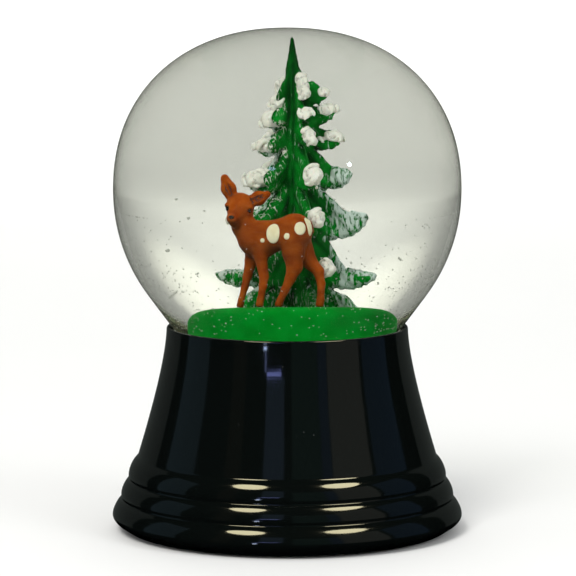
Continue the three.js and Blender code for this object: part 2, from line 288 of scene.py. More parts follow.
# ---- shaders
class Shader:
    """A material built from nodes. Coordinates are the object's own, in metres."""

    def __init__(self, name):
        self.material = bpy.data.materials.new(name)
        self.material.use_nodes = True
        self.tree = self.material.node_tree
        self.tree.nodes.clear()
        self.output = self.node("ShaderNodeOutputMaterial")
        self.coords = self.node("ShaderNodeTexCoord").outputs["Object"]

    def node(self, kind, inputs=None, **settings):
        made = self.tree.nodes.new(kind)
        for key, value in settings.items():
            setattr(made, key, value)
        for key, value in (inputs or {}).items():
            self.feed(made.inputs[key], value)
        return made

    def feed(self, socket, value):
        """Links an input to an output, or sets its value. A colour is given without alpha."""
        if isinstance(value, bpy.types.NodeSocket):
            self.tree.links.new(value, socket)
        elif socket.type == "RGBA":
            socket.default_value = (*value, 1)
        else:
            socket.default_value = value

    def stretched(self, scale, turn=(0, 0, 0)):
        """The coordinates squeezed along each axis."""
        inputs = {"Vector": self.coords, "Rotation": turn, "Scale": scale}
        return self.node("ShaderNodeMapping", inputs).outputs[0]

    def noise(self, size, detail=3.0, rough=0.55, vector=None, warp=0.0):
        """Cloudy noise with features about size mm across, from 0 to 1."""
        made = self.node("ShaderNodeTexNoise", {
            "Vector": vector or self.coords, "Scale": 1 / (size * MM), "Detail": detail,
            "Roughness": rough, "Distortion": warp})
        return made.outputs["Fac"]

    def cells(self, size):
        """The distance to the nearest of many scattered points, about size mm apart."""
        made = self.node("ShaderNodeTexVoronoi", {"Vector": self.coords, "Scale": 1 / (size * MM)})
        return made.outputs["Distance"]

    def ramp(self, value, stops):
        """A colour for each value, from (position, colour) stops."""
        made = self.node("ShaderNodeValToRGB", {"Fac": value})
        ramp = made.color_ramp
        while len(ramp.elements) < len(stops):
            ramp.elements.new(0.5)
        for element, (position, colour) in zip(ramp.elements, stops):
            element.position = position
            element.color = (*colour, 1)
        return made.outputs["Color"]

    def steps(self, value, low, high, start=0.0, end=1.0):
        """A number that goes from start to end while value goes from low to high."""
        return self.node("ShaderNodeMapRange", {
            "Value": value, "From Min": low, "From Max": high, "To Min": start, "To Max": end,
        }).outputs["Result"]

    def math(self, operation, a, b=0.0):
        return self.node("ShaderNodeMath", {0: a, 1: b}, operation=operation).outputs[0]

    def mix(self, factor, a, b):
        """Colour a where the factor is 0 and b where it is 1."""
        return self.node("ShaderNodeMix", {0: factor, 6: a, 7: b}, data_type="RGBA").outputs[2]

    def attribute(self, name):
        return self.node("ShaderNodeAttribute", attribute_name=name).outputs["Fac"]

    def bump(self, height, depth, strength, under=None):
        """A normal for a relief of the given depth in millimetres, on top of any other."""
        inputs = {"Height": height, "Strength": strength, "Distance": depth * MM}
        if under is not None:
            inputs["Normal"] = under
        return self.node("ShaderNodeBump", inputs).outputs["Normal"]

    def principled(self, **inputs):
        """The general surface. Its inputs go by Blender's names, with underscores for spaces."""
        named = {key.replace("_", " ").title().replace("Ior", "IOR"): value
                 for key, value in inputs.items()}
        return self.node("ShaderNodeBsdfPrincipled", named).outputs["BSDF"]

    def clear(self, tint=(1, 1, 1)):
        """A face that light goes straight through."""
        return self.node("ShaderNodeBsdfTransparent", {"Color": tint}).outputs[0]

    def share(self, factor, a, b):
        """Surface a where the factor is 0 and b where it is 1."""
        return self.node("ShaderNodeMixShader", {0: factor, 1: a, 2: b}).outputs[0]

    def done(self, surface):
        self.tree.links.new(surface, self.output.inputs["Surface"])
        return self.material


def srgb(r, g, b):
    """A linear colour from 0-255 screen values."""
    return tuple(((c / 255 + 0.055) / 1.055) ** 2.4 if c > 10 else c / 255 / 12.92
                 for c in (r, g, b))


def painted_plastic(name, dark, mid, light, patch, grain):
    """Moulded plastic with a coat of paint: patches of tone and fine brush grain, in mm."""
    s = Shader(name)
    patches = s.noise(patch, 3)
    tone = s.ramp(patches, [(0.32, dark), (0.5, mid), (0.68, light)])
    fine = s.noise(grain, 4)
    colour = s.mix(s.steps(fine, 0.3, 0.7, 0, 0.35), tone, dark)
    relief = s.bump(s.noise(grain * 1.4, 4), 0.03, 0.5)
    return s, colour, relief, s.steps(fine, 0.35, 0.65, 0.42, 0.6)


# ---- the fir tree
# Each tier of a branch wall: (reach, height) of its shoulder, tip, underside and notch.
TIERS = [
    ((2.6, 39.6), (5.9, 37.3), (4.7, 36.0), (3.5, 35.6)),
    ((5.3, 35.2), (7.2, 34.0), (6.2, 32.8), (4.3, 31.8)),
    ((6.8, 30.9), (8.4, 29.7), (6.2, 27.9), (3.7, 28.2)),
    ((6.5, 25.4), (9.8, 24.2), (7.3, 21.2), (4.6, 21.4)),
    ((8.8, 17.5), (12.5, 16.4), (8.8, 12.6), (5.7, 12.9)),
    ((9.2, 7.3), (14.5, 6.5), (10.0, 4.0), (6.3, 4.4)),
]
RIGHT, FRONT, FRONT_LEFT, LEFT, BACK_LEFT, BACK_RIGHT = range(6)
# Each wall: direction in degrees from +X seen from above, its lowest and top tiers' reach, and
# how much higher each tier's tip is, from the top tier down.
WALLS = [(-3, 1.0, 1.0, (-0.6, -0.3, 0.2, 0.2, 0, -0.1)),
         (-64, 0.95, 0.86, (1.8, 1.0, 1.2, 0.1, 0.2, 1.4)),
         (-132, 0.80, 0.70, (0, 0, 0, 0, 0, 0)),
         (-180, 0.88, 0.58, (-1.2, -1.3, -1.2, -1.1, -0.8, 0.5)),
         (-240, 0.90, 0.72, (-0.8, -0.6, -0.9, -0.4, 0, 0)),
         (-324, 0.95, 0.80, (-0.6, -0.5, -0.6, -0.6, -0.4, 0.6))]
SPIKE_Z = TREE_HEIGHT - 4.0
SLAB_HALF = 0.85          # half the thickness of a branch wall
SLAB_EDGE = 1.5           # how far its rounded edge reaches in
TREE_STEP = 0.22          # between the grid points it is sculpted on
TRUNK_R = 2.5             # at the foot
SPIKE_R = 0.42            # where the bare spike starts
SPIKE_THINNING = 0.34     # from there to its tip


def through(points):
    """A smooth curve through the points, with 6 steps from each to the next."""
    points = np.array(points, float)
    ends = np.concatenate([[2 * points[0] - points[1]], points, [2 * points[-1] - points[-2]]])
    out = []
    for p0, p1, p2, p3 in zip(ends, ends[1:], ends[2:], ends[3:]):
        for t in np.arange(6) / 6:
            out.append(0.5 * (2 * p1 + (p2 - p0) * t + (2 * p0 - 5 * p1 + 4 * p2 - p3) * t**2
                              + (3 * p1 - p0 - 3 * p2 + p3) * t**3))
    out.append(points[-1])
    return out


def wall_outline(low_reach, top_reach, lifts, rng):
    """The outline of one branch wall, and where its tips are."""
    lowest = len(TIERS) - 1

    def at(point, tier):
        return np.array([point[0] * (top_reach + (low_reach - top_reach) * tier / lowest),
                         point[1] + lifts[tier]])

    outline = [(-1.0, 38.0), (-1.0, 0.0), (11.6 * low_reach, 0.0), (9.6 * low_reach, 2.7)]
    tips = []
    for n in range(lowest, -1, -1):
        shoulder, tip, under, notch = (at(point, n) for point in TIERS[n])
        above = at(TIERS[n - 1][3], n - 1) if n else np.array([0.5, SPIKE_Z - 1.2])
        sway = rng.normal(0, 0.22, 2)
        tip, under, shoulder = tip + sway, under + 0.5 * sway, shoulder + 0.5 * sway
        lip = tip + (under - tip) * np.array([0.28, 0.62])
        crest = shoulder + 0.35 * (tip - shoulder) * np.array([1, 0.4])
        outline += through([notch, under, lip, tip, crest, shoulder, above])[:-1]
        tips.append(tip)
    outline += [(0.5, SPIKE_Z - 1.2), (0.3, SPIKE_Z), (0.0, TREE_HEIGHT - 1.0),
                (-1.0, TREE_HEIGHT - 6)]
    return outline, tips[::-1]


def fir_tree():
    """The tree's distance field, its walls in their own coordinates, and heights above its foot."""
    rng = np.random.default_rng(12)
    block = Block((TREE_X - 14.6, TREE_Y - 13.0, TREE_FOOT_Z - 0.6),
                  (TREE_X + 15.4, TREE_Y + 12.6, TREE_FOOT_Z + TREE_HEIGHT + 0.5), TREE_STEP)
    x, y, h = block.x - TREE_X, block.y - TREE_Y, block.z - TREE_FOOT_Z
    radius = np.hypot(x, y)
    taper = np.clip(h / SPIKE_Z, 0, 1)
    up_spike = np.clip((h - SPIKE_Z) / (TREE_HEIGHT - SPIKE_Z), 0, 1.2)
    slender = np.clip((TREE_HEIGHT - 2 - h) / 17, 0.17, 1)
    trunk_r = TRUNK_R + (SPIKE_R - TRUNK_R) * taper**0.8 - SPIKE_THINNING * up_spike
    whole = np.maximum((radius - trunk_r) * 0.96, np.maximum(-h, h - TREE_HEIGHT))
    walls = []
    for direction, low_reach, top_reach, lifts in WALLS:
        outline, tips = wall_outline(low_reach, top_reach, lifts, rng)
        c, s = math.cos(math.radians(direction)), math.sin(math.radians(direction))
        u, w = x * c + y * s, y * c - x * s
        bend = 0.35 * np.sin(h * 0.33 + direction) * (u / 8) ** 2 + 0.25 * np.sin(h * 0.9 + u)
        near = (np.abs(w) < 3.2) & (u > -1.2) & (u < 15.6 * max(low_reach, top_reach))
        flat = np.full(u.shape, FAR, np.float32)
        slant = u * 0.8 + h * 0.62
        ridges = np.sin(slant * 4.6 + 0.8 * np.sin(u * 1.3 + direction))
        teeth = np.sin(slant * 7.5 + 2.0 * np.sin(h * 2.1 + direction))
        flat[near] = outline_distance(outline, u[near], h[near])
        flat = flat + (0.10 * ridges + 0.07 * teeth) * np.clip((u - 1.5) / 2, 0, 1)
        swell = slender * SLAB_HALF * (1 + 0.45 * np.clip(1 - u / 5.0, 0, 1)
                                       + 0.12 * ridges * np.clip((u - 2) / 3, 0, 1)
                                       + 0.12 * np.sin(h * 0.8 + direction))
        q = np.maximum(flat + SLAB_EDGE, 0) / SLAB_EDGE
        p = np.abs(w - bend * np.clip(u / 4, 0, 1)) / swell
        slab = (np.sqrt(q**2 + p**2) - 1) * SLAB_HALF * slender
        slab[~near] = FAR
        whole = blend(whole, slab, 0.7 * slender)
        walls.append((tips, u, w, flat))
    whole = np.maximum(whole, -h)
    return block, whole, walls, h


# The painted tips of a wall: half the width and half the height of each dab from the top tier
# down, in millimetres. A tier with no dab is (0, 0).
DABS = {
    RIGHT: [(1.0, 0.6), (1.5, 0.9), (1.9, 0.9), (0, 0), (0, 0), (0, 0)],
    FRONT: [(1.3, 2.0), (1.1, 0.9), (1.1, 1.5), (1.4, 2.3), (1.5, 1.9), (1.4, 2.3)],
    FRONT_LEFT: [(0, 0)] * 6,
    LEFT: [(1.5, 1.5), (1.8, 1.6), (2.4, 1.2), (3.0, 1.7), (2.4, 1.5), (0, 0)],
    BACK_LEFT: [(1.2, 1.3), (1.4, 1.2), (1.5, 1.5), (1.8, 1.9), (1.8, 1.7), (1.6, 2.0)],
    BACK_RIGHT: [(0, 0), (0, 0), (0, 0), (0, 0), (1.5, 1.6), (0, 0)],
}
# How thickly the bare stretches of a wall are dry-brushed, and how much they are scribbled on.
BRUSHED = {RIGHT: 0.85, FRONT: 0.25, FRONT_LEFT: 0.15, LEFT: 0.75, BACK_LEFT: 0.5,
           BACK_RIGHT: 0.8}
SCRIBBLED = {RIGHT: 0.2, FRONT: 0.2, FRONT_LEFT: 0.8, LEFT: 0.6, BACK_LEFT: 0.6,
             BACK_RIGHT: 0.4}


def tree_snow(block, whole, walls, h):
    """Thick dabs of white paint on the tips of the branches, with ridges the brush left."""
    rng = np.random.default_rng(5)
    x, y, z = block.x, block.y, block.z
    grain = (np.sin(x * 5.1 + 1.7 * np.sin(z * 2.3)) + np.sin(z * 6.3 + 1.9 * np.sin(y * 2.9))
             + np.sin(y * 5.7 + x * 2.1)) / 3
    clumps = (np.sin(x * 1.9 + 1.3 * np.sin(z * 1.3))
              + np.sin(z * 2.3 + 1.5 * np.sin(x * 1.7 + y))) / 2
    dabs = np.full(whole.shape, FAR, np.float32)
    coat = np.full(whole.shape, 0.28, np.float32)
    ridge = np.zeros(whole.shape, np.float32)
    for n, (tips, u, w, _) in enumerate(walls):
        for tip, (wide, tall) in zip(tips, DABS[n]):
            turn = rng.uniform(0, 6.3)
            if not wide:
                continue
            inward, lift = {FRONT: (0.55, 0.0), RIGHT: (0.7, 0.75)}.get(n, (0.62, 0.2))
            cu, cz = tip[0] - inward * wide, tip[1] + lift * tall
            up = (h - cz) / tall
            out = (u - cu + 0.35 * (h - cz)) / (wide * np.clip(1.08 - 0.48 * up, 0.4, 1.6))
            across = w / (1.5 * wide + 0.4)
            spot = (np.sqrt(out**2 + up**2 + across**2) - 1) * min(wide, tall)
            dabs = np.minimum(dabs, spot + 0.20 * grain + 0.26 * clumps)
            away = np.sqrt((u - cu) ** 2 + (h - cz) ** 2 + 0.5 * w**2)
            swirl = np.sin(np.arctan2(h - cz, u - cu + 0.8 * w) + 3.4 * away + turn)
            here = spot < 0.8
            ridge[here] = swirl[here]
            coat[here] = (0.45 if n == FRONT else 0.26) + 0.38 * np.abs(swirl[here])
    skin = whole - coat - 0.07 * grain
    return within(dabs, skin, 0.14), ridge


def tree_marks(block, verts, walls, h):
    """How much of each point is dry-brushed and scribbled on with white, from 0 to 1."""
    index = block.nearest(verts)
    height = h[index]
    brushed, scribbled = np.zeros(len(verts)), np.zeros(len(verts))
    for n, (_, *wall) in enumerate(walls):
        u, w, flat = (field[index] for field in wall)
        on = (np.abs(w) < 1.7) & (u > 2.2)
        rim = np.clip(1 + (flat + 0.2) / np.clip(0.9 + 0.16 * u, 1.2, 3.4), 0, 1)
        if n in (RIGHT, BACK_RIGHT):
            outer = np.clip((u - 4.5 - 0.12 * np.maximum(16 - height, 0)) / 3, 0, 1)
            rim = np.maximum(0.6 * rim, outer) * np.clip((32 - height) / 8, 0.3, 1)
        brushed = np.maximum(brushed, on * rim * BRUSHED[n])
        scribbled = np.maximum(scribbled, on * rim * SCRIBBLED[n])
    skirt = np.clip((5.5 - height) / 3, 0, 1)
    return np.maximum(brushed, 0.25 * skirt), np.maximum(scribbled, 0.4 * skirt)


def hollows(block, field, verts, faces, reach):
    """How far each point lies in a hollow of the form, from 0 in the open to 1."""
    points = verts[faces]
    across = np.cross(points[:, 1] - points[:, 0], points[:, 2] - points[:, 0])
    normals = np.zeros_like(verts)
    for corner in range(3):
        np.add.at(normals, faces[:, corner], across)
    normals /= np.maximum(np.linalg.norm(normals, axis=1, keepdims=True), 1e-9)
    open_air = field[block.nearest(verts + reach * normals)]
    return np.clip(1 - open_air / reach, 0, 1)


def write_attribute(obj, name, values):
    """Keeps a number for each vertex, for its material to read."""
    layer = obj.data.attributes.new(name, "FLOAT", "POINT")
    layer.data.foreach_set("value", np.asarray(values, np.float32))


def make_tree(material, snow_material):
    block, whole, walls, h = fir_tree()
    verts, faces = block.surface(whole)
    verts = relax(verts, faces, 2)
    tree = add_mesh("fir_tree_moulding", verts, faces, material)
    brushed, scribbled = tree_marks(block, verts, walls, h)
    write_attribute(tree, "brushed", brushed)
    write_attribute(tree, "scribbled", scribbled)
    # how deep each point lies in a hollow, for the painted shade in the tree's material
    write_attribute(tree, "hollow", hollows(block, whole, verts, faces, 1.8))
    dabs, ridge = tree_snow(block, whole, walls, h)
    snow, snow_faces = block.surface(dabs)
    snow = relax(snow, snow_faces, 1)
    caps = add_mesh("fir_tree_snow", snow, snow_faces, snow_material)
    # where the brush ridges meet, for painted shade in the creases
    write_attribute(caps, "painted_shade_lines", 1 - np.abs(ridge[block.nearest(snow)]))
    return tree, caps


# ---- the fawn
FAWN_STEP = 0.17                            # between the grid points it is sculpted on
EYES = ((-10.95, 18.6), (-6.85, 18.2))      # each: x, height


def ear(block, base, tip, base_r, mid_r, tip_r):
    """A leaf-shaped ear and the hollow in its front."""
    base, tip = np.array(base), np.array(tip)
    middle = base + 0.5 * (tip - base)
    forward = np.array([0, -0.62 * mid_r, 0])
    whole = blend(block.limb(base, middle, base_r, mid_r, 2.0),
                  block.limb(middle, tip, mid_r, tip_r, 2.0), 0.3)
    low, high = base + 0.22 * (tip - base), base + 0.85 * (tip - base)
    cup = block.limb(low + forward, high + forward, 0.45 * mid_r, 0.34 * mid_r, 1.2)
    return whole, cup


def fawn_form(block):
    """The fawn facing -X with its head turned to -Y. Returns its distances and its ear cups."""
    near, far = -1.5, 1.4
    legs = [
        (near, (-5.0, 12.4, 1.55), (-4.75, 9.6, 1.2), (-4.1, 6.1, 0.86), (-4.3, 4.2, 0.72),
         (-4.8, 1.5, 0.62), (-5.0, 0.55, 0.74)),
        (far, (-6.6, 11.4, 1.5), (-7.0, 8.9, 1.1), (-7.7, 6.0, 0.78), (-8.2, 4.0, 0.64),
         (-8.9, 1.5, 0.56), (-9.1, 0.55, 0.68)),
        (near, (1.3, 13.0, 2.5), (1.5, 10.4, 2.05), (1.7, 7.8, 1.5), (0.9, 5.6, 0.98),
         (-0.1, 3.4, 0.76), (-1.0, 1.4, 0.64), (-1.3, 0.55, 0.76)),
        (far, (2.2, 12.0, 2.1), (3.9, 8.8, 1.35), (5.6, 7.0, 1.0), (6.15, 4.6, 0.72),
         (6.05, 1.5, 0.68), (5.9, 0.55, 0.78)),
    ]
    body = block.ball((-5.2, 0, 12.7), (3.5, 2.35, 3.5))
    body = blend(body, block.limb((-4.4, 0, 13.2), (1.0, -0.1, 14.3), 2.8, 3.05), 1.2)
    body = blend(body, block.ball((1.6, -0.1, 14.4), (3.1, 2.75, 3.35)), 0.9)
    body = blend(body, block.limb((-6.8, 0, 13.0), (-8.2, 0.1, 15.4), 2.35, 2.1), 1.1)
    body = blend(body, block.limb((-8.2, 0.1, 15.2), (-8.5, 0.1, 17.6), 2.1, 2.05), 0.5)
    for side, *joints in legs:
        leg = None
        for (x0, z0, r0), (x1, z1, r1) in zip(joints, joints[1:]):
            part = block.limb((x0, side, z0), (x1, side, z1), r0, r1)
            leg = part if leg is None else blend(leg, part, 0.35)
        body = blend(body, leg, 0.7)
    tail = block.limb((4.1, 0, 15.9), (4.6, 0, 14.5), 0.6, 0.45)
    body = blend(body, tail, 0.5)
    head = block.ball((-8.8, 0.1, 19.05), (2.55, 2.45, 2.55))
    head = blend(head, block.limb((-9.0, -0.7, 18.1), (-9.6, -2.7, 16.85), 1.95, 1.3), 0.8)
    head = blend(head, block.ball((-9.85, -3.3, 16.85), (0.9, 0.65, 0.75)), 0.4)
    head = blend(head, block.limb((-8.8, -0.3, 17.1), (-9.35, -2.2, 16.0), 1.6, 1.0), 0.5)
    for x, z in EYES:
        brow = block.ball((x + 0.2 * np.sign(-8.8 - x), -1.0, z + 0.6), (0.75, 0.7, 0.5))
        head = blend(head, brow, 0.5)
        socket = block.ball((x, -1.45, z), (0.45, 0.5, 0.42))
        head = carve(head, socket, 0.3)
    for x in (-10.2, -9.5):
        nostril = block.ball((x, -3.98, 16.9), (0.16, 0.3, 0.13))
        head = carve(head, nostril, 0.15)
    mouth = block.limb((-10.6, -3.2, 16.3), (-9.1, -3.4, 16.25), 0.13, 0.13)
    head = carve(head, mouth, 0.25)
    cups = []
    for shape in (((-10.3, 0.6, 20.4), (-11.75, 0.9, 24.1), 1.05, 1.42, 0.8),
                  ((-7.0, 0.5, 19.8), (-4.0, 1.3, 21.2), 1.05, 1.40, 0.7)):
        lobe, cup = ear(block, *shape)
        head = blend(head, lobe, 0.4)
        cups.append(cup)
    for cup in cups:
        head = carve(head, cup, 0.25)
    whole = blend(body, head, 0.7)
    return np.maximum(whole, -block.z), cups


def paint_dab(whole, region, thickness, edge=0.18):
    """A coat of paint of the given thickness where the form meets a region."""
    return within(whole - thickness, region, edge)


def place_fawn(verts):
    """The fawn's own vertices turned and moved to where it stands."""
    c, s = math.cos(FAWN_YAW), math.sin(FAWN_YAW)
    x, y, z = verts[:, 0], verts[:, 1], verts[:, 2]
    return np.stack([c * x - s * y, s * x + c * y + FAWN_Y, z + TREE_FOOT_Z], 1)


def make_fawn(coat, white, black, dark):
    block = Block((-15.0, -6.2, -0.6), (8.6, 4.6, 27.0), FAWN_STEP)
    whole, cups = fawn_form(block)

    def piece(name, distance, material, rounds=2):
        verts, faces = block.surface(distance)
        return add_mesh(name, place_fawn(relax(verts, faces, rounds)), faces, material)

    body = piece("fawn_body", whole, coat)
    normals, places = np.zeros((2, 3 * len(body.data.vertices)))
    body.data.vertices.foreach_get("normal", normals)
    body.data.vertices.foreach_get("co", places)
    down, z = -normals[2::3], places[2::3] / MM - TREE_FOOT_Z
    # Painted shade: darker where the surface faces down, and a fainter band over the body below the
    # head.
    underside_shade = np.clip(down + 0.35, 0, 1) * np.clip((z - 6) / 4, 0, 1)
    flank_shade = 0.45 * np.clip((z - 7) / 4, 0, 1) * np.clip((17.5 - z) / 2.5, 0, 1)
    write_attribute(body, "shaded", np.maximum(underside_shade, flank_shade))
    spots = [((-2.1, -2.9, 14.2), (1.3, 1.6, 2.0)), ((-4.1, -2.5, 12.8), (0.45, 1.2, 0.5)),
             ((0.75, -3.0, 13.6), (0.72, 1.4, 0.78)), ((3.0, -2.6, 15.1), (1.05, 1.6, 1.3))]
    rump = block.limb((4.1, -1.0, 16.9), (5.2, -1.3, 13.2), 0.7, 0.6)
    thigh = block.limb((4.2, -1.2, 11.6), (4.6, -1.0, 9.6), 0.5, 0.3)
    marks = np.minimum.reduce([block.ball(*spot) for spot in spots] + [rump, thigh])
    pieces = [body, piece("fawn_spots", paint_dab(whole, marks, 0.16), white, 1)]
    eyes = np.minimum(*[block.ball((x, -1.2, z), (0.34, 0.45, 0.42)) for x, z in EYES])
    pieces.append(piece("fawn_eyes", eyes, black, 1))
    nose = paint_dab(whole, block.ball((-9.85, -3.85, 17.1), (0.60, 0.6, 0.42)), 0.10)
    pieces.append(piece("fawn_nose", nose, black, 1))
    inner = paint_dab(whole, np.minimum(*[c - 0.12 for c in cups]), 0.05, 0.1)
    pieces.append(piece("fawn_ear_linings", inner, dark, 1))
    return pieces


# ---- glass, liquid, ground, base
def globe_profile(inset, lowest_z):
    """The globe's face drawn in by inset: from the lowest point up the neck to the crown."""
    radius, rise, neck = GLOBE_R - inset, DOME_RISE - inset, NECK_R - inset
    tangent_r, tangent_z = radius * math.cos(SHOULDER), GLOBE_Z - radius * math.sin(SHOULDER)
    slope = math.tan(SHOULDER)
    neck_top = tangent_z - (tangent_r - neck) / slope
    side = [(neck, lowest_z), (neck, neck_top), (tangent_r, tangent_z)]
    side += arc(0, GLOBE_Z, radius, radius, -math.degrees(SHOULDER), 0, 24)
    lower = soften(side, 0.5, 1.3)
    turns = np.linspace(0, math.pi / 2, 90)[1:]
    across, up = np.cos(turns) ** (2 / DOME_POWER), np.sin(turns) ** (2 / DOME_POWER)
    dome = np.stack([radius * across, GLOBE_Z + rise * up], 1)
    dome[-1, 0] = 0.0
    return np.concatenate([lower, dome])


def make_globe(outer_glass, wetted_glass):
    """The blown glass. Liquid wets its inner face, so that has a material of its own."""
    segments = 224
    outer, inner = globe_profile(0, NECK_END_Z), globe_profile(WALL, NECK_END_Z)[::-1]
    globe = turned("glass_globe_blown", np.concatenate([outer, inner]), outer_glass, segments)
    globe.data.materials.append(wetted_glass)
    for face in globe.data.polygons[(len(outer) - 1) * segments:]:
        face.material_index = 1
    return globe


def make_liquid(material, bottom_z):
    gap = 0.06
    profile = np.concatenate([[(0, bottom_z)], globe_profile(WALL + gap, bottom_z)])
    return turned("liquid", profile, material, 160)


def make_ground(material):
    """The round ground with a soft edge, on a boss that stands on the stopper."""
    edge, low_z = GROUND_EDGE, ground_low[2]
    boss_r, under_z = 9.0, 44.6
    side = [(0, low_z), (boss_r, low_z), (boss_r, under_z), (GROUND_R, under_z),
            (GROUND_R, GROUND_TOP_Z - edge)]
    side += arc(GROUND_R - edge, GROUND_TOP_Z - edge, edge, edge, 0, 90, 16)
    side += [(0, GROUND_TOP_Z)]
    profile = soften(side, 0.3, 0.35)
    profile[0, 0] = profile[-1, 0] = 0.0
    return turned("ground_moulding", profile, material, 160, (GROUND_X, 0))


def make_base(material):
    """The base shell: a foot that tucks under and two beads, each a shoulder that runs down into
    a steep side, a flared wall and a thin rounded rim."""
    foot = through([(37.3, FOOT_Z), (38.7, 1.42), (39.75, 2.15), (40.35, 2.95), (BASE_R, 3.65),
                    (40.3, 4.6), (39.8, 5.7), (39.2, 6.6), (38.5, 7.25)])
    second = through([(38.42, 7.45), (38.5, 8.3), (38.32, 9.3), (37.9, 10.3), (37.35, 11.2),
                      (36.75, 11.75)])
    first = through([(36.68, 11.95), (36.78, 12.8), (36.62, 13.8), (36.2, 14.95), (35.55, 16.05),
                     (34.8, 16.9)])
    wall = [((1 - t) ** 2 * 34.6 + 2 * t * (1 - t) * 28.1 + t * t * 27.85,
             (1 - t) ** 2 * 17.15 + 2 * t * (1 - t) * 38.5 + t * t * (BASE_TOP_Z - 0.45))
            for t in np.linspace(0, 1, 30)]
    rim = arc(27.4, BASE_TOP_Z - 0.45, 0.45, 0.45, 20, 170, 8)
    inside = [(26.95, 43.3), (25.9, 40.0), (27.4, 32.0), (29.3, 25.0), (32.3, 17.0),
              (32.3, 5.2), (34.2, 3.0), (36.3, 3.0), (36.3, FOOT_Z)]
    profile = soften(foot + second + first + wall + rim + inside + [foot[0]], 0.16, 0.10)[:-1]
    profile[:, 1] = np.maximum(profile[:, 1], FOOT_Z)
    return turned("base_moulding", profile, material, 256)


def make_felt(material):
    """The felt disc: a flat face to stand on and a slightly fuzzy, rounded edge."""
    r, top = felt_high[0] - 0.05, felt_high[2]
    rng = np.random.default_rng(3)
    profile = soften([(0, 0), (r, 0), (r, top), (0, top)], 0.2, 0.18)
    profile[0, 0] = profile[-1, 0] = 0.0
    profile[:, 1] = np.clip(profile[:, 1], 0, top)
    felt = turned("felt_disc", profile, material, 240)
    for v in felt.data.vertices:
        away = math.hypot(v.co.x, v.co.y)
        if away > (r - 1) * MM and 0 < v.co.z:
            v.co.x -= v.co.x / away * abs(rng.normal(0, 0.05)) * MM
            v.co.y -= v.co.y / away * abs(rng.normal(0, 0.05)) * MM
    return felt


# ---- flakes
glass_inside = globe_profile(WALL + 0.1, NECK_END_Z)
glass_inside = glass_inside[glass_inside[:, 1] <= GLOBE_Z]


def inner_glass_r(z):
    """The radius just inside the glass at a height, up to where the globe is widest."""
    return np.interp(z, glass_inside[:, 1], glass_inside[:, 0])


def add_flake(verts, faces, centre, normal, size, rng):
    """One thin six-sided flake, a little bent."""
    half_thickness = 0.05
    normal = Vector(normal).normalized()
    side = normal.orthogonal().normalized()
    other = normal.cross(side)
    first = len(verts)
    spin = rng.uniform(0, math.pi)
    long = rng.uniform(0.75, 1.25)
    for level in (-1, 1):
        for k in range(6):
            a = spin + k * math.pi / 3 + rng.uniform(-0.2, 0.2)
            reach = size * rng.uniform(0.8, 1.1)
            out = side * (math.cos(a) * reach * long) + other * (math.sin(a) * reach / long)
            bend = 0.12 * size * math.cos(2 * a)
            verts.append(tuple(Vector(centre) + out + normal * (level * half_thickness + bend)))
    bottom, top = list(range(first, first + 6)), list(range(first + 6, first + 12))
    faces += [bottom[::-1], top] + ring_faces([bottom, top], False)


def make_flakes(material):
    rng = np.random.default_rng(21)
    verts, faces = [], []
    on_ground, on_glass = 110, 4800
    # on the ground: on top, and clinging to its rounded edge and side
    edge = GROUND_EDGE
    for _ in range(on_ground):
        a = rng.uniform(0, 2 * math.pi)
        if rng.random() < 0.35:
            r, z, normal = GROUND_R * math.sqrt(rng.random()) * 0.9, GROUND_TOP_Z, (0, 0, 1)
            r = min(r, GROUND_R - edge)
        else:
            b = rng.uniform(0.1, 1.5)
            r = GROUND_R - edge + edge * math.cos(b)
            z = GROUND_TOP_Z - edge + edge * math.sin(b)
            normal = (math.cos(a) * math.cos(b), math.sin(a) * math.cos(b), math.sin(b))
        at = np.array([GROUND_X + r * math.cos(a), r * math.sin(a), z])
        at += 0.06 * np.array(normal) / np.linalg.norm(normal)
        tilted = np.array(normal) + rng.normal(0, 0.15, 3)
        add_flake(verts, faces, at, tilted, rng.uniform(0.08, 0.15), rng)
    # caught on the sloping glass above the groove, thinning out upwards, most at the two sides
    lowest_z, tallest, typical = 48.5, 26.0, 6.5
    for _ in range(on_glass):
        a = rng.choice((0.0, math.pi)) + rng.normal(0, 0.6)
        z = lowest_z + min(tallest, rng.exponential(typical))
        if z < GROUND_TOP_Z and math.sin(a) < 0.25 and rng.random() < 0.8:
            continue
        r = inner_glass_r(z) - 0.12
        slope = (inner_glass_r(z + 0.2) - inner_glass_r(z - 0.2)) / 0.4
        at = (r * math.cos(a), r * math.sin(a), z)
        tilted = np.array([-math.cos(a), -math.sin(a), slope]) + rng.normal(0, 0.25, 3)
        add_flake(verts, faces, at, tilted, rng.uniform(0.11, 0.21), rng)
    return add_mesh("loose_flakes", verts, faces, material, smooth=False)


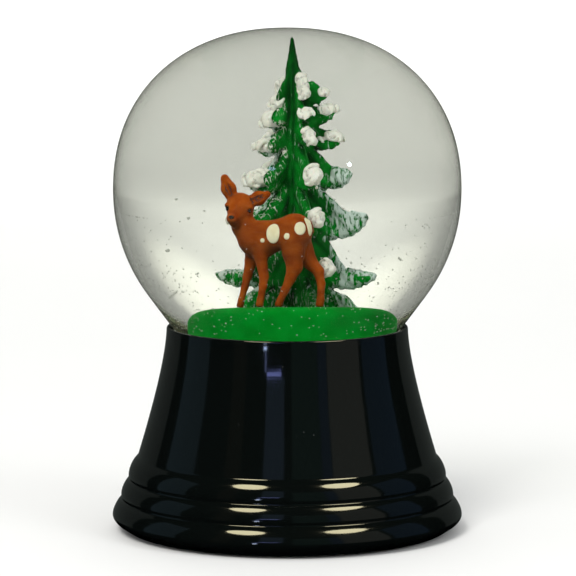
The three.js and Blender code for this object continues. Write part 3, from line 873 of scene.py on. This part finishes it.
def make_snow_bed(material):
    """The settled flakes in the groove: a lumpy ring, highest against the glass and at the
    back."""
    rng = np.random.default_rng(8)
    segments, rows = 300, 14
    bottom_z, top_z = snow_low[2] + 0.2, snow_high[2] - 0.4
    inner, outer_bottom = GROUND_R + abs(GROUND_X) + 0.6, inner_glass_r(bottom_z) - 0.15
    phase = rng.uniform(0, 2 * math.pi, 6)
    verts = []
    for i in range(segments):
        a = 2 * math.pi * i / segments
        heap = sum(math.sin((k + 2) * a + phase[k]) / (k + 2) for k in range(6))
        crest = top_z + 0.3 * heap + min(3.2, 5 * max(0.0, math.sin(a) + 0.35) ** 1.2)
        outer = inner_glass_r(crest) - 0.15
        section = [(inner, bottom_z), (outer_bottom, bottom_z)]
        for t in np.arange(rows) / (rows - 1):
            z = crest - 2.6 * t**1.4 + rng.normal(0, 0.10)
            section.append((outer + (inner - outer) * t, max(z, bottom_z + 0.5)))
        verts.extend((r * math.cos(a), r * math.sin(a), z) for r, z in section)
    rings = np.arange(len(verts)).reshape(segments, rows + 2).T.tolist()
    return add_mesh("settled_snow", verts, ring_faces(rings, True), material)


# ---- materials
WET_IOR = 1.14      # of a solid in the liquid, as the liquid sees it


def lamp_clear(s, surface):
    """Lets the light of lamps through, as real glass does, so that it reaches the figures."""
    from_lamp = s.node("ShaderNodeLightPath").outputs["Is Shadow Ray"]
    return s.share(from_lamp, surface, s.clear())


def glass(name, ior, tint):
    """Blown glass: faint waves and a few smudges."""
    s = Shader(name)
    waves = s.bump(s.noise(16, 1), 0.02, 0.25)
    smudge = s.steps(s.noise(9, 4), 0.55, 0.8, 0.0, 0.02)
    face = s.principled(base_color=tint, roughness=smudge, ior=ior, transmission_weight=1.0,
                        normal=waves)
    return s.done(lamp_clear(s, face))


def liquid_material():
    """Water with a trace of haze."""
    s = Shader("liquid")
    haze = s.steps(s.noise(12, 2), 0.3, 0.7, 0.0005, 0.002)
    cloudy = s.principled(base_color=(0.8, 0.82, 0.78), roughness=0.4)
    return s.done(s.share(haze, s.clear((0.865, 0.87, 0.845)), cloudy))


def ground_material():
    """Green paint with white specks of settled dust."""
    s, colour, relief, rough = painted_plastic(
        "ground_green", srgb(0, 128, 30), srgb(0, 148, 40), srgb(3, 164, 50), 6, 0.5)
    specks = s.steps(s.cells(1.1), 0.07, 0.12, 1, 0)
    dusty = s.math("MULTIPLY", specks, s.steps(s.noise(5, 2), 0.5, 0.62, 0, 0.8))
    colour = s.mix(dusty, colour, srgb(168, 200, 160))
    return s.done(s.principled(base_color=colour, roughness=rough, normal=relief, ior=WET_IOR,
                               subsurface_weight=0.06, subsurface_scale=0.002))


def snow_paint(name, base, shade, shade_depth=0.0, painted_glow=0.0):
    """Thick white paint with brush ridges, with painted shade in the creases between them, and a
    painted glow where asked.
    """
    s = Shader(name)
    colour = s.mix(s.steps(s.noise(1.2, 4), 0.35, 0.7), base, shade)
    if shade_depth:
        # Painted shade: the creases between the brush ridges are darkened.
        shaded_creases = s.steps(s.attribute("painted_shade_lines"), 0.5, 1.0, 0, shade_depth)
        colour = s.mix(shaded_creases, colour, tuple(0.42 * c for c in shade))
    relief = s.bump(s.noise(0.5, 4, 0.7), 0.12, 0.7)
    # Painted light: the paint can glow faintly in its own colour, as light scattered through snow
    # would look.
    return s.done(s.principled(base_color=colour, roughness=0.55, normal=relief, ior=WET_IOR,
                               subsurface_weight=0.15, subsurface_scale=0.001,
                               emission_color=base, emission_strength=painted_glow))


def tree_material():
    """Green plastic, dry-brushed with white on its outer branches, with thin white strokes, and
    painted shade in its hollows.
    """
    s, colour, relief, rough = painted_plastic(
        "fir_green", srgb(0, 92, 20), srgb(2, 128, 32), srgb(10, 156, 44), 2.5, 0.35)
    streaks = s.noise(0.8, 4, 0.62, s.stretched((1.3, 1.3, 0.40), (0, 0.75, 0)), 0.5)
    cover = s.math("ADD", s.attribute("brushed"),
                   s.math("MULTIPLY", s.math("SUBTRACT", streaks, 0.5), 3.4))
    cover = s.steps(cover, 0.50, 0.92, 0, 0.95)
    wander = s.noise(1.5, 2, 0.5, s.stretched((1.5, 1.5, 0.6), (0, 0.6, 0)), 0.4)
    line = s.steps(s.math("ABSOLUTE", s.math("SUBTRACT", wander, 0.5)), 0.012, 0.040, 1, 0)
    broken = s.steps(s.noise(0.7, 2), 0.42, 0.55, 0, 0.9)
    strokes = s.math("MULTIPLY", s.math("MULTIPLY", line, broken),
                     s.steps(s.attribute("scribbled"), 0.25, 0.6))
    white = s.math("MAXIMUM", cover, strokes)
    # Painted shade: the hollows between the branch walls are darkened to deep green.
    painted_hollow_shade = s.steps(s.attribute("hollow"), 0.25, 0.85, 0, 0.85)
    colour = s.mix(painted_hollow_shade, colour, srgb(0, 44, 10))
    colour = s.mix(cover, colour, srgb(216, 232, 228))
    colour = s.mix(strokes, colour, srgb(244, 246, 238))
    raised = s.bump(white, 0.12, 0.8, relief)
    rough = s.math("ADD", rough, s.math("MULTIPLY", white, 0.1))
    return s.done(s.principled(base_color=colour, roughness=rough, normal=raised, ior=WET_IOR))


def fawn_material():
    """Brown paint with painted shade below and along the body, and paler where a dry brush left
    hair.
    """
    s, colour, relief, rough = painted_plastic(
        "fawn_coat", srgb(134, 54, 8), srgb(168, 76, 14), srgb(186, 94, 26), 2.2, 0.3)
    shade = s.attribute("shaded")
    # Painted shade from the "shaded" attribute.
    colour = s.mix(s.math("MULTIPLY", shade, 0.75), colour, srgb(58, 28, 12))
    hair = s.noise(0.5, 4, 0.6, s.stretched((0.35, 1, 1)))
    colour = s.mix(s.steps(hair, 0.5, 0.75, 0, 0.25), colour, srgb(190, 120, 62))
    return s.done(s.principled(base_color=colour, roughness=rough, normal=relief, ior=WET_IOR,
                               subsurface_weight=0.04, subsurface_scale=0.001))


def simple(name, base, shade, size, rough, depth=0.05, bumps=0.5):
    """A material with clouds of a second tone and a fine relief."""
    s = Shader(name)
    colour = s.mix(s.steps(s.noise(size, 4), 0.35, 0.65), base, shade)
    relief = s.bump(s.noise(size * 0.4, 4), depth, bumps)
    mottled = s.steps(s.noise(size * 0.7, 3), 0.3, 0.7, rough * 0.85, rough * 1.1)
    return s.done(s.principled(base_color=colour, roughness=mottled, normal=relief))


def base_material():
    """Black lacquer: glossy, faintly uneven, with dust and fine handling marks."""
    s = Shader("base_lacquer")
    dust = s.steps(s.cells(2.6), 0.03, 0.06, 1, 0)
    dust = s.math("MULTIPLY", dust, s.steps(s.noise(9, 2), 0.55, 0.7, 0, 0.5))
    colour = s.mix(dust, (0.0012, 0.0018, 0.0018), (0.08, 0.085, 0.09))
    rings = s.noise(1.6, 3, 0.6, s.stretched((0.05, 0.05, 3)))
    rough = s.math("ADD", s.steps(s.noise(14, 4), 0.35, 0.75, 0.045, 0.10),
                   s.steps(rings, 0.45, 0.8, 0, 0.05))
    flow = s.bump(s.noise(7, 2), 0.10, 0.18)
    return s.done(s.principled(base_color=colour, roughness=rough, normal=flow, ior=1.5))


def felt_material():
    """Dark green felt of tangled fibres."""
    s = Shader("felt")
    fibres = s.noise(0.35, 6, 0.75, None, 1.5)
    colour = s.ramp(fibres, [(0.3, srgb(8, 26, 14)), (0.55, srgb(20, 52, 30)),
                             (0.75, srgb(44, 84, 54))])
    relief = s.bump(fibres, 0.35, 0.9)
    return s.done(s.principled(base_color=colour, roughness=0.95, normal=relief,
                               sheen_weight=0.5, sheen_roughness=0.4))


def flake_material():
    """Thin milky plastic that lets part of the light through."""
    s = Shader("flakes")
    milky = s.mix(s.noise(0.6, 2), srgb(236, 236, 230), srgb(200, 203, 198))
    thin = s.steps(s.noise(2.0, 2), 0.35, 0.65, 0.45, 0.9)
    face = s.principled(base_color=milky, roughness=0.4, ior=WET_IOR)
    return s.done(s.share(thin, s.clear(), face))


# ---- assembly
def put(piece, slot, *nodes):
    """Gives a piece its body and hides the CAD nodes it takes the place of. Its slot is not used.
    """
    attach(piece, "root")
    if nodes:
        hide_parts(*nodes)


white_paint = snow_paint("snow_paint", srgb(254, 253, 246), srgb(238, 240, 230), 0.8)
tree, caps = make_tree(tree_material(), white_paint)
put(tree, "fir_green", "fir_tree")
put(caps, "snow")

fawn_pieces = make_fawn(
    fawn_material(), snow_paint("fawn_white", srgb(250, 244, 214), srgb(236, 226, 188)),
    simple("fawn_black", (0.006, 0.005, 0.005), (0.02, 0.016, 0.014), 0.4, 0.22, 0.01, 0.3),
    simple("ear_lining", srgb(70, 38, 30), srgb(98, 56, 44), 0.5, 0.6))
for piece in fawn_pieces:
    put(piece, "fawn_paint")
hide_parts("fawn")

globe = make_globe(glass("globe_glass", 1.5, (0.88, 0.885, 0.86)),
                   glass("globe_glass_wetted", 1.125, (0.91, 0.915, 0.90)))
put(globe, "glass", "glass_globe")
stopper_top = node_box("neck_stopper")[1][2]
liquid = make_liquid(liquid_material(), stopper_top + 0.3)
put(liquid, "liquid", "water_fill")
put(make_ground(ground_material()), "ground_green", "ground_disc")
base = make_base(base_material())
put(base, "base_black", "base_shell")
put(make_felt(felt_material()), "felt", "felt_pad")

# The settled snow glows faintly: painted light standing in for light scattered through the heap.
bed_paint = snow_paint("snow_bed", srgb(244, 243, 232), srgb(216, 217, 206), painted_glow=0.3)
put(make_snow_bed(bed_paint), "snow", "snow_flakes")
put(make_flakes(flake_material()), "snow")

CARRIED = {
    "neck_stopper": simple("stopper_rubber", (0.10, 0.07, 0.06), (0.07, 0.05, 0.045), 3, 0.8),
    "neck_seal": simple("sealing_compound", (0.60, 0.59, 0.55), (0.50, 0.49, 0.45), 2, 0.5),
    "plaster_setting": simple("plaster", (0.80, 0.78, 0.72), (0.70, 0.68, 0.62), 3, 0.9, 0.2),
    "bottom_disc": simple("hardboard", (0.20, 0.11, 0.05), (0.13, 0.07, 0.035), 0.8, 0.8),
}
for node, material in CARRIED.items():
    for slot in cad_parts[node].material_slots:
        slot.material = material


# ---- studio
def backdrop(material):
    """A pale floor that sweeps up into a wall behind the object. The object's gloss doesn't
    show it, as if the front of the studio were dark."""
    front, start, bend, top, half = -700, 1900, 1300, 3200, 3600
    path = [(front, 0), (start, 0)]
    path += [(start + bend * math.sin(a), bend - bend * math.cos(a))
             for a in np.linspace(0, math.pi / 2, 25)[1:]]
    path.append((start + bend, top))
    verts = [(x, y, z) for y, z in path for x in (-half, half)]
    faces = [(2 * k, 2 * k + 1, 2 * k + 3, 2 * k + 2) for k in range(len(path) - 1)]
    sweep = add_mesh("sweep", verts, faces, material)
    sweep.visible_glossy = False


def aim(obj, place, target):
    """Puts a lamp or a camera in its place, turned to its target."""
    obj.location = place
    way = Vector(target) - Vector(place)
    obj.rotation_euler = way.to_track_quat("-Z", "Y").to_euler()
    scene.collection.objects.link(obj)


def lamp(name, kind, place, target, colour, mirrored):
    """A lamp of the given kind. One that isn't mirrored lights without showing in any gloss."""
    data = bpy.data.lights.new(name, kind)
    data.color = colour
    obj = bpy.data.objects.new(name, data)
    obj.visible_camera = obj.visible_transmission = False
    obj.visible_glossy = mirrored
    aim(obj, place, target)
    return obj


def softbox(name, place, target, width, height, radiance, colour, mirrored=False,
            shape="RECTANGLE"):
    """A flat lamp, equally bright from everywhere in front of it."""
    obj = lamp(name, "AREA", place, target, colour, mirrored)
    obj.data.shape, obj.data.size, obj.data.size_y = shape, width, height
    filled = math.pi / 4 if shape == "ELLIPSE" else 1
    obj.data.energy = radiance * math.pi * width * height * filled
    return obj


def card(name, azimuth, span, low, high, radiance, colour, shape="RECTANGLE"):
    """An upright glowing card 1.5 m away, seen in the object's gloss. Azimuth and span in
    degrees, clockwise from the front as seen from above; low and high in metres."""
    away = 1.5
    a = math.radians(azimuth)
    width = 2 * away * math.tan(math.radians(span / 2))
    place = (away * math.sin(a), -away * math.cos(a), (low + high) / 2)
    target = (0, 0, place[2])
    return softbox(name, place, target, width, high - low, radiance, colour, True, shape)


def pool(name, side, power):
    """A soft warm pool of light on the backdrop, on the left (side -1) or the right (1)."""
    place, target = (0.4 * side, 1.6, 2.4), (1.15 * side, 3.2, 1.15)
    obj = lamp(name, "SPOT", place, target, (1.0, 0.99, 0.88), False)
    obj.data.spot_size, obj.data.spot_blend = math.radians(50), 1.0
    obj.data.shadow_soft_size, obj.data.energy = 0.1, power


def light_only(lamps, receivers):
    """Limits lamps to some of the pieces."""
    group = bpy.data.collections.new("lit_by_" + lamps[0].name)
    for piece in receivers:
        group.objects.link(piece)
    for obj in lamps:
        obj.light_linking.receiver_collection = group


def camera(place, target, lens):
    data = bpy.data.cameras.new("camera")
    data.lens, data.sensor_width = lens, 36
    data.clip_start, data.clip_end = 0.01, 50
    obj = bpy.data.objects.new("camera", data)
    aim(obj, place, target)
    scene.camera = obj


paper = Shader("sweep_paper")
paper_tone = paper.mix(paper.noise(300, 2), (0.80, 0.80, 0.79), (0.84, 0.84, 0.83))
backdrop(paper.done(paper.principled(base_color=paper_tone, roughness=0.85)))

world = bpy.data.worlds.new("studio")
scene.world = world
world.use_nodes = True
sky = world.node_tree.nodes["Background"].inputs
sky["Color"].default_value = (0.98, 0.99, 1.0, 1)
sky["Strength"].default_value = 0.70
world.cycles_visibility.glossy = False

CENTRE = (0, 0, 0.06)
WARM, BLUE, GREY = (1.0, 0.91, 0.58), (0.45, 0.65, 1.0), (0.88, 1.0, 0.92)
softbox("key", (-0.55, -1.1, 1.25), CENTRE, 0.6, 0.6, 19.0, (1.0, 0.99, 0.96))
softbox("fill", (1.1, -0.9, 0.9), CENTRE, 0.6, 0.6, 5.0, (0.97, 0.99, 1.0))
softbox("floor_wash", (0.0, 2.1, 1.4), (0.0, 2.0, 0.0), 2.2, 1.1, 2.0, (1.0, 1.0, 0.98))
softbox("wall_wash", (0.0, 1.2, 1.7), (0.0, 3.0, 0.6), 1.6, 0.6, 5.6, (1.0, 1.0, 0.98))
pool("pool_left", -1, 215)
pool("pool_right", 1, 235)

# What the black base mirrors: soft bands, a small bright window frame and two warm panels.
bands = [card("band_far_left", -91.5, 29, -0.3, 1.2, 0.15, (0.50, 0.80, 1.0)),
         card("band_left", -10.7, 16, 0.38, 1.2, 0.24, BLUE),
         card("band_brown", -44, 13, -0.3, 1.2, 0.03, (1.0, 0.80, 0.5)),
         card("band_middle", 15.7, 24, -0.3, 1.0, 0.07, (0.5, 1.0, 0.85)),
         card("band_edge", 32, 8, -0.3, 1.0, 0.14, (0.35, 0.55, 1.0)),
         card("band_right", 53, 33, -0.3, 1.2, 0.20, (1.0, 1.0, 0.88)),
         card("band_far_right", 88.5, 31, -0.3, 1.2, 0.13, (0.30, 0.55, 1.0)),
         card("rim_left", -148, 56, -0.3, 1.2, 0.07, GREY),
         card("rim_right", 150, 50, -0.3, 1.2, 0.07, GREY),
         softbox("panel_left", (-0.75, -1.05, 1.59), CENTRE, 0.76, 0.66, 16, WARM, True, "ELLIPSE"),
         softbox("panel_right", (1.01, -0.79, 1.59), CENTRE, 0.86, 0.66, 16, WARM, True, "ELLIPSE")]
frame_lamps = [card("window_low", -20.6, 2.6, -0.11, -0.05, 34.0, (0.70, 0.80, 1.0)),
               card("window_middle", -20.4, 2.8, 0.03, 0.09, 20.0, (0.50, 0.64, 1.0)),
               card("window_high", -19.8, 1.4, 0.12, 0.34, 2.6, (0.40, 0.50, 1.0)),
               card("window_sill", -12, 13, 0.342, 0.378, 7.0, (0.34, 0.40, 1.0))]
light_only(bands + frame_lamps, [base])
# What the glass mirrors: three glints.
glints = [card("glint_right", 42, 3.2, 0.48, 0.56, 26.0, (0.82, 0.91, 1.0), "ELLIPSE"),
          card("glint_right_low", 37, 1.2, 0.12, 0.44, 1.6, (0.80, 0.90, 1.0)),
          card("glint_left", -10, 5, 0.46, 0.53, 7.0, (0.50, 0.70, 1.0), "ELLIPSE")]
light_only(glints, [globe])

camera(place=(0.00017, -0.8, 0.1508), target=(0.00017, 0, 0.056), lens=218.4)
scene.view_settings.view_transform = "Standard"
cycles = scene.cycles
cycles.max_bounces = 20
cycles.transmission_bounces = 16
cycles.transparent_max_bounces = 24
cycles.glossy_bounces = 6
cycles.diffuse_bounces = 3
cycles.caustics_reflective = False
cycles.caustics_refractive = True
